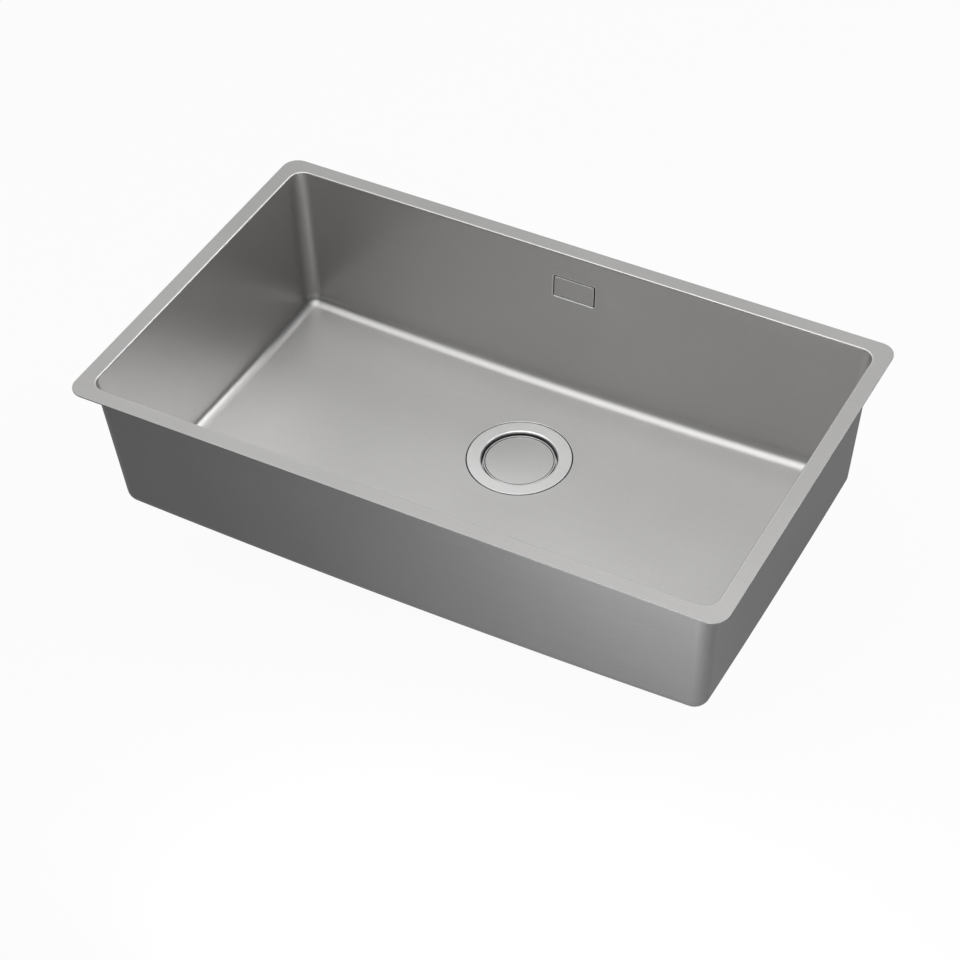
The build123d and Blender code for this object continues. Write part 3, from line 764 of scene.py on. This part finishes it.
def addTurned(skin, rows, count, closed=False, finishOf=None):
    # spin the rows round the drain's axis
    x, y = drainPlace
    spokes = circleOf(count)
    rings = []
    for place, before, after in rows:
        places = [(x + place.x * c, y + place.x * s, place.y) for c, s in spokes]
        rings.append(skin.addRing(places))
    for k in range(len(rows) if closed else len(rows) - 1):
        n = (k + 1) % len(rows)
        skin.finish = finishOf(k) if finishOf else 0
        ways = []
        for way in (rows[k][2], rows[n][1]):
            ways.append([Vector((way.x * c, way.x * s, way.y)) for c, s in spokes])
        skin.addStrip(rings[k], rings[n], *ways)
    return rings


def addHoles(skin, discs, holes):
    # round holes through a sheet; discs are its two faces, each an outline, a level and a way
    loops = [[], []]
    spokes = circleOf(turnedSteps["hole"])
    ways = [Vector((-c, -s, 0)) for c, s in spokes]
    for (x, y), radius in holes:
        for side, (outline, level, way) in enumerate(discs):
            places = [(x + radius * c, y + radius * s, level) for c, s in spokes]
            loops[side].append(skin.addRing(places))
        skin.addStrip(loops[0][-1], loops[1][-1], ways, ways)
    for side, (outline, level, way) in enumerate(discs):
        skin.addFlat([outline] + loops[side], way)


# ring in the floor and the strainer cup under it

ringForm = {
    "top": -178.1,
    "radius": 57.2,
    "thickness": 1.5,
    "opening": 41.7,
    "lipRound": 1.6,
    "brightDepth": 3.0,  # below it the throat is painted dark, as shade
    "edgeRound": 0.35,
    "wall": 1.2,
    "depth": 41.5,
    "seat": (26, 8, 6),  # drop, height and narrowing of the basket's seat
    "drainHoles": (6, 22, 6),  # how many, on which radius, hole radius
    "screwHole": 3.3,
    "around": 160,
    "finishes": ("ringSteel", "throatPaintedShade"),
}


def makeRing(form):
    skin = Skin()
    top, opening, wall = form["top"], form["opening"], form["wall"]
    seatDrop, seatHeight, seatNarrowing = form["seat"]
    floor = top - form["depth"]
    seatTop = top - seatDrop
    seatFoot = seatTop - seatHeight
    seatRadius = opening - seatNarrowing
    under = top - form["thickness"]
    corners = [
        (seatRadius + wall, floor - wall, 0),
        (seatRadius + wall, seatFoot, 0),
        (opening + wall, seatTop, 0),
        (opening + wall, under, 0),
        (form["radius"], under, 0),
        (form["radius"], top, form["edgeRound"]),
        (opening, top, form["lipRound"]),
        (opening, top - form["brightDepth"], 0),
        (opening, seatTop, 0),
        (seatRadius, seatFoot, 0),
        (seatRadius, floor, 0),
    ]
    rows = profileRows(corners, closed=False)
    paintedShadeStrip = len(rows) - 4  # painted shade, from below the bright lip down to the seat

    def finishOf(k):
        return 1 if k == paintedShadeStrip else 0

    rings = addTurned(skin, rows, form["around"], finishOf=finishOf)
    skin.finish = 0
    count, reach, radius = form["drainHoles"]
    holes = [((x, y), radius) for x, y in circleOf(count, drainPlace, reach)]
    holes.append((drainPlace, form["screwHole"]))
    discs = ((rings[-1], floor, upwards), (rings[0], floor - wall, -upwards))
    addHoles(skin, discs, holes)
    skin.makeObject("wasteRing", form["finishes"], "bowl", "stainless_polished", "waste_flange")


makeRing(ringForm)


# rubber seal under the ring, its edge squeezed out into the gap round the ring: a real seal, and its
# dark raised edge also paints the gap's shade

sealForm = {
    "inner": 46,
    "outer": 58.3,
    "under": -180.4,
    "top": -179.6,
    "bead": (57.3, -178.9, 0.35),  # inner radius, top level and edge radius
    "around": 120,
    "finishes": ("sealRubber",),
}


def makeSeal(form):
    skin = Skin()
    beadInner, beadTop, beadRound = form["bead"]
    corners = [
        (form["inner"], form["under"], 0),
        (form["outer"], form["under"], 0),
        (form["outer"], beadTop, beadRound),
        (beadInner, beadTop, beadRound),
        (beadInner, form["top"], 0),
        (form["inner"], form["top"], 0),
    ]
    addTurned(skin, profileRows(corners, closed=True), form["around"], closed=True)
    skin.makeObject("ringSeal", form["finishes"], "bowl", "rubber", "flange_seal")


makeSeal(sealForm)


# pressed cover: bright flat edge, narrow groove painted near-black as shade, faint dome

lidForm = {
    "radius": 39.3,
    "top": -181.7,
    "thickness": 1,
    "skirt": (2.6, 0.9),  # height and wall
    "edge": 1.15,
    "edgeRound": 0.4,
    "groove": (1.0, 0.8, 0.2),  # width, depth and edge radius
    "step": 0.4,
    "dome": 0.6,
    "domeSteps": 14,
    "middle": 1,  # radius of the flat faces on the axis
    "around": 160,
    "finishes": ("lidSteel", "groovePaintedShade", "throatPaintedShade", "ringSteel"),
}


def makeLid(form):
    skin = Skin()
    top, radius, middle = form["top"], form["radius"], form["middle"]
    skirtHeight, skirtWall = form["skirt"]
    grooveWidth, grooveDepth, grooveRound = form["groove"]
    under = top - form["thickness"]
    edge = radius - form["edge"]
    domeRadius = edge - grooveWidth
    corners = [
        (middle, under, 0),
        (radius - skirtWall, under, 0),
        (radius - skirtWall, under - skirtHeight, 0),
        (radius, under - skirtHeight, 0),
        (radius, top, form["edgeRound"]),
        (edge, top, grooveRound),
        (edge, top - grooveDepth, 0),
        (domeRadius, top - grooveDepth, 0),
    ]
    rows = profileRows(corners, closed=False)
    skirtEnd = 4  # strips of the underside and the skirt, painted darker as shade
    grooveStart = len(rows) - 3
    domeStart = len(rows)
    for step in range(form["domeSteps"] + 1):
        r = domeRadius + (middle - domeRadius) * step / form["domeSteps"]
        level = top - form["step"] + form["dome"] * (1 - (r / domeRadius) ** 2)
        way = Vector((2 * form["dome"] * r / domeRadius ** 2, 1)).normalized()
        rows.append((Vector((r, level)), way, way))

    def finishOf(k):
        cover, groove, skirt, bright = range(len(form["finishes"]))
        if k >= domeStart:
            return cover
        if k >= grooveStart:
            return groove
        return skirt if k < skirtEnd else bright

    rings = addTurned(skin, rows, form["around"], finishOf=finishOf)
    skin.finish = 0
    skin.addFlat([rings[-1]], upwards)
    skin.addFlat([rings[0]], -upwards)
    skin.makeObject("drainLid", form["finishes"], "cover", "stainless_cover", "drain_cover")


makeLid(lidForm)


# overflow plate with its two legs, in the plane of the back wall

plateForm = {
    "size": (47.6, 24.6, 1.4),  # length, height and corner radius
    "depth": (0.1, 1.6),
    "edgeRound": 0.5,
    "edgeSteps": 5,
    "columns": (1, 1, 8),
    "legs": (7, 2, 6.5),  # reach from the middle, radius and end depth
    "legSides": 24,
    "finishes": ("insideSteel", "ringSteel"),
}


def makePlate(form, bowl):
    skin = Skin()
    middle, across, downwards, inwards = overflowPlane(bowl)

    def at(x, y, depth):
        return middle + across * x + downwards * y + inwards * depth

    columns = columnsRound(*form["columns"])
    sideways = [across * x + downwards * y for lean, (x, y) in columns]
    length, height, radius = form["size"]
    front, back = form["depth"]
    edge = form["edgeRound"]
    rings, ways = [], []
    for turn in quarterTurn(form["edgeSteps"]):
        shrink = edge * (1 - math.sin(turn))
        depth = front + edge * (1 - math.cos(turn))
        plan = roundedRectangle(columns, length - 2 * shrink, height - 2 * shrink, radius - shrink)
        rings.append(skin.addRing([at(x, y, depth) for x, y in plan]))
        ways.append([-inwards * math.cos(turn) + s * math.sin(turn) for s in sideways])
    plan = roundedRectangle(columns, length, height, radius)
    rings.append(skin.addRing([at(x, y, back) for x, y in plan]))
    ways.append(sideways)
    for k in range(len(rings) - 1):
        # the rounded front edge takes the light ring steel, a painted highlight
        skin.finish = 1 if k < form["edgeSteps"] else 0
        skin.addStrip(rings[k], rings[k + 1], ways[k], ways[k + 1])
    skin.finish = 0
    skin.addFace(rings[0], [-inwards] * len(columns))
    reach, legRadius, legEnd = form["legs"]
    spokes = circleOf(form["legSides"])
    legWays = [across * c + downwards * s for c, s in spokes]
    feet = []
    for side in (-reach, reach):
        foot, tip = (
            skin.addRing([at(side + legRadius * c, legRadius * s, depth) for c, s in spokes])
            for depth in (back, legEnd)
        )
        skin.addStrip(foot, tip, legWays, legWays)
        skin.addFlat([tip], inwards)
        feet.append(foot)
    skin.addFlat([rings[-1]] + feet, inwards)
    skin.makeObject("overflowPlate", form["finishes"], "bowl", "stainless", "overflow_plate")


makePlate(plateForm, bowlForm)


# corrugated overflow hose, straight down and round into the waste body

hoseForm = {
    "radius": 8.8,
    "bore": 6.6,
    "endRun": 9,
    "pitch": 4.2,
    "grooveDepth": 1.1,
    "plainEnd": 9.5,
    "perWave": 8,
    "around": 28,
    "finishes": ("hosePlastic",),
}


def makeHose(form):
    skin = Skin()
    low, high = (Vector(corner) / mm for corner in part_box("overflow_hose"))
    radius, grooveDepth = form["radius"], form["grooveDepth"]
    start = Vector((0, high.y - radius, high.z))
    level = low.z + radius
    bend = start.y - low.y - form["endRun"]
    fall = start.z - level - bend
    sweep = bend * math.pi / 2
    length = fall + sweep + form["endRun"]

    def placeAt(run):
        # place and direction along the hose
        if run <= fall:
            return start - Vector((0, 0, run)), -upwards
        if run <= fall + sweep:
            turn = (run - fall) / bend
            way = Vector((0, -math.sin(turn), -math.cos(turn)))
            centre = Vector((0, start.y - bend, level + bend))
            return centre + Vector((0, math.cos(turn), -math.sin(turn))) * bend, way
        return Vector((0, low.y + length - run, level)), Vector((0, -1, 0))

    waveStart, waveEnd = form["plainEnd"], length - form["plainEnd"]
    waves = round((waveEnd - waveStart) / form["pitch"])
    waveSteps = waves * form["perWave"]
    runs = [0.0]
    for k in range(waveSteps + 1):
        runs.append(waveStart + (waveEnd - waveStart) * k / waveSteps)
    runs.append(length)
    spokes = circleOf(form["around"])
    side = Vector((1, 0, 0))
    rings, ways = [], []

    def addSection(run, reach, slope, sign):
        place, way = placeAt(run)
        up = way.cross(side)
        out = [side * c + up * s for c, s in spokes]
        rings.append(skin.addRing([place + o * reach for o in out]))
        ways.append([(o * sign + way * slope).normalized() for o in out])

    perRun = math.tau * waves / (waveEnd - waveStart)
    for run in runs:
        phase = perRun * (run - waveStart)
        reach, slope = radius, 0
        if waveStart <= run <= waveEnd:
            reach -= grooveDepth * (1 - math.cos(phase)) / 2
            slope = grooveDepth * math.sin(phase) * perRun / 2
        addSection(run, reach, slope, 1)
    # the bore is smooth, so it needs fewer sections on its way back
    for run in runs[::-form["perWave"]] + [0.0]:
        addSection(run, form["bore"], 0, -1)
    endWays = {len(runs) - 1: placeAt(length)[1], len(rings) - 1: -placeAt(0)[1]}
    for k in range(len(rings)):
        n = (k + 1) % len(rings)
        if k in endWays:
            flat = [endWays[k]] * form["around"]
            skin.addStrip(rings[k], rings[n], flat, flat)
        else:
            skin.addStrip(rings[k], rings[n], ways[k], ways[n])
    skin.makeObject("overflowHose", form["finishes"], "bowl", "hose", "overflow_hose")


makeHose(hoseForm)


# raised thread round the outlet

threadForm = {
    "radius": 23.85,
    "height": 0.75,
    "pitch": 3,
    "crest": 0.8,
    "root": 2.0,
    "from": -262.6,
    "to": -243.5,
    "around": 64,
    "fadeSteps": 10,
    "endSize": (0.1, 0.05),  # height and width left at the ends
    "finishes": ("paleMoulding",),
}


def makeThread(form):
    skin = Skin()
    height, crest, root = form["height"], form["crest"] / 2, form["root"] / 2
    steps = round((form["to"] - form["from"]) / form["pitch"] * form["around"])
    section = ((0, -root), (1, -crest), (1, crest), (0, root))
    endHeight, endWidth = form["endSize"]
    rings, outs = [], []
    for k in range(steps + 1):
        turn = math.tau * k / form["around"]
        level = form["from"] + form["pitch"] * k / form["around"]
        fade = min(1, k / form["fadeSteps"], (steps - k) / form["fadeSteps"])
        out = Vector((math.cos(turn), math.sin(turn), 0))
        ring = []
        for raised, rise in section:
            reach = form["radius"] + height * raised * max(fade, endHeight)
            ring.append(Vector((*drainPlace, level + rise * max(fade, endWidth))) + out * reach)
        rings.append(skin.addRing(ring))
        outs.append(out)
    for k in range(steps):
        # lower flank, crest and upper flank, then the side against the outlet
        for part, tilt in enumerate((-1, 0, 1)):
            ways = outs[k:k + 2]
            if tilt:
                ways = [(out * (root - crest) + upwards * tilt * height).normalized() for out in ways]
            corners = [rings[k][part], rings[k + 1][part], rings[k + 1][part + 1], rings[k][part + 1]]
            skin.addFace(corners, [ways[0], ways[1], ways[1], ways[0]])
        inner = [rings[k][3], rings[k + 1][3], rings[k + 1][0], rings[k][0]]
        skin.addFace(inner, [-outs[k], -outs[k + 1], -outs[k + 1], -outs[k]])
    for k, sign in ((0, -1), (steps, 1)):
        way = Vector((-outs[k].y, outs[k].x, 0)) * sign
        skin.addFace(list(rings[k]), [way] * 4)
    skin.makeObject("outletThread", form["finishes"], "bowl", "moulding")


makeThread(threadForm)
print("stage 5: ring, seal, cover, overflow plate, hose and thread made")


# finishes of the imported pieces

nodeFinishes = {
    "sink_bowl": "insideSteel",
    "rim_seal": "stripFoam",
    "sound_pads": "dampingPad",
    "waste_flange": "ringSteel",
    "flange_seal": "sealRubber",
    "body_seal": "sealRubber",
    "waste_body": "paleMoulding",
    "clamp_screw": "fixingSteel",
    "strainer_basket": "ringSteel",
    "basket_seal": "sealRubber",
    "basket_knob": "darkMoulding",
    "knob_nut": "fixingSteel",
    "drain_cover": "lidSteel",
    "cover_feet": "sealRubber",
    "overflow_plate": "insideSteel",
    "overflow_insert": "darkMoulding",
    "overflow_seal": "sealRubber",
    "overflow_housing": "paleMoulding",
    "overflow_screws": "fixingSteel",
    "overflow_hose": "hosePlastic",
    "upper_hose_nut": "paleMoulding",
    "lower_hose_nut": "paleMoulding",
    "upper_hose_washer": "sealRubber",
    "lower_hose_washer": "sealRubber",
}

for nodeName, finishName in nodeFinishes.items():
    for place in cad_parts[nodeName].material_slots:
        place.material = finishes[finishName]
print("stage 6: finishes put on the packed pieces")


# floor, light and background

studio = {
    "floorLevel": cadBox[0][2],
    "floorSize": 60.0,
    "floorTone": (0.45, 0.45, 0.45, 1),
    "floorRough": 0.9,
    "floorGloss": 0.2,
    "seenWhite": 0.94,  # how far the floor is whitened where the camera sees it
    "mirroredWhite": 0.3,  # and where metal mirrors it
}


def makeFloor(settings):
    mesh = bpy.data.meshes.new("studioFloor")
    build = bmesh.new()
    bmesh.ops.create_grid(build, x_segments=1, y_segments=1, size=settings["floorSize"] / 2)
    build.to_mesh(mesh)
    build.free()
    floor = bpy.data.objects.new("studioFloor", mesh)
    floor.location = (0, 0, settings["floorLevel"])
    bpy.context.scene.collection.objects.link(floor)
    material, tree, shader = newMaterial("studioFloor")
    shader.inputs["Base Color"].default_value = settings["floorTone"]
    shader.inputs["Roughness"].default_value = settings["floorRough"]
    shader.inputs["Specular IOR Level"].default_value = settings["floorGloss"]
    white = addNode(tree, "ShaderNodeEmission", Strength=1.0)
    rays = addNode(tree, "ShaderNodeLightPath").outputs
    mirrored = addMath(tree, "ADD", rays["Is Glossy Ray"], rays["Is Transmission Ray"], use_clamp=True)
    mirroredPart = addMath(tree, "MULTIPLY", mirrored, settings["mirroredWhite"])
    amount = addMath(tree, "MULTIPLY_ADD", rays["Is Camera Ray"], settings["seenWhite"], mirroredPart)
    blend = addNode(tree, "ShaderNodeMixShader")
    link(tree, amount, blend.inputs["Fac"])
    link(tree, shader.outputs["BSDF"], blend.inputs[1])
    link(tree, white.outputs["Emission"], blend.inputs[2])
    # from below the floor is clear, so that the underside can be looked at
    side = addNode(tree, "ShaderNodeNewGeometry")
    clear = addNode(tree, "ShaderNodeBsdfTransparent")
    oneSided = addNode(tree, "ShaderNodeMixShader")
    link(tree, side.outputs["Backfacing"], oneSided.inputs["Fac"])
    link(tree, blend.outputs["Shader"], oneSided.inputs[1])
    link(tree, clear.outputs["BSDF"], oneSided.inputs[2])
    link(tree, oneSided.outputs["Shader"], tree.nodes["Material Output"].inputs["Surface"])
    mesh.materials.append(material)


# the room is bright behind and above the sink and dim in front of it
sky = {
    "brightSide": (-0.42, 0.48, 0.77),
    "level": (0.05, 0.83),  # dim and bright
    "edges": (-0.15, 0.65),  # how far towards the bright side each begins
}


def makeWorld(settings):
    world = bpy.data.worlds.new("studioWorld")
    world.use_nodes = True
    tree = world.node_tree
    place = addNode(tree, "ShaderNodeTexCoord")
    towards = addNode(tree, "ShaderNodeVectorMath", operation="DOT_PRODUCT")
    towards.inputs[1].default_value = settings["brightSide"]
    link(tree, place.outputs["Generated"], towards.inputs[0])
    edges, level = settings["edges"], settings["level"]
    level = addRange(tree, towards.outputs["Value"], edges, level, interpolation_type="SMOOTHSTEP")
    # white where the camera sees it
    rays = addNode(tree, "ShaderNodeLightPath")
    strength = addMath(tree, "MAXIMUM", level, rays.outputs["Is Camera Ray"])
    link(tree, strength, tree.nodes["Background"].inputs["Strength"])
    tree.nodes["Background"].inputs["Color"].default_value = (1, 1, 1, 1)
    bpy.context.scene.world = world


lampSettings = {
    "overhead": {
        "place": (-0.28, -0.1, 2.2), "aim": (0, 0, 0), "size": (2.0, 1.7), "power": 28,
    },
    "backRight": {
        "place": (1.5, 1.7, 1.7), "aim": (0, 0, -0.1), "size": (1.2, 1.2), "power": 24,
    },
    "frontRight": {
        "place": (0.27, -0.62, -0.1), "aim": (0.22, -0.2, -0.1), "size": (0.45, 0.25), "power": 6.5,
    },
    "rightSide": {
        "place": (1.0, -0.85, -0.05), "aim": (0.34, -0.2, -0.1), "size": (0.4, 0.3), "power": 8,
    },
}


def makeLamp(name, settings):
    data = bpy.data.lights.new(name, "AREA")
    data.shape = "RECTANGLE"
    data.size, data.size_y = settings["size"]
    data.energy = settings["power"]
    lamp = bpy.data.objects.new(name, data)
    lamp.location = settings["place"]
    toward = Vector(settings["aim"]) - Vector(settings["place"])
    lamp.rotation_euler = toward.to_track_quat("-Z", "Y").to_euler()
    lamp.visible_camera = False
    bpy.context.scene.collection.objects.link(lamp)


makeFloor(studio)
makeWorld(sky)
for lampName, settings in lampSettings.items():
    makeLamp(lampName, settings)
print("stage 7: floor, sky and lamps ready")
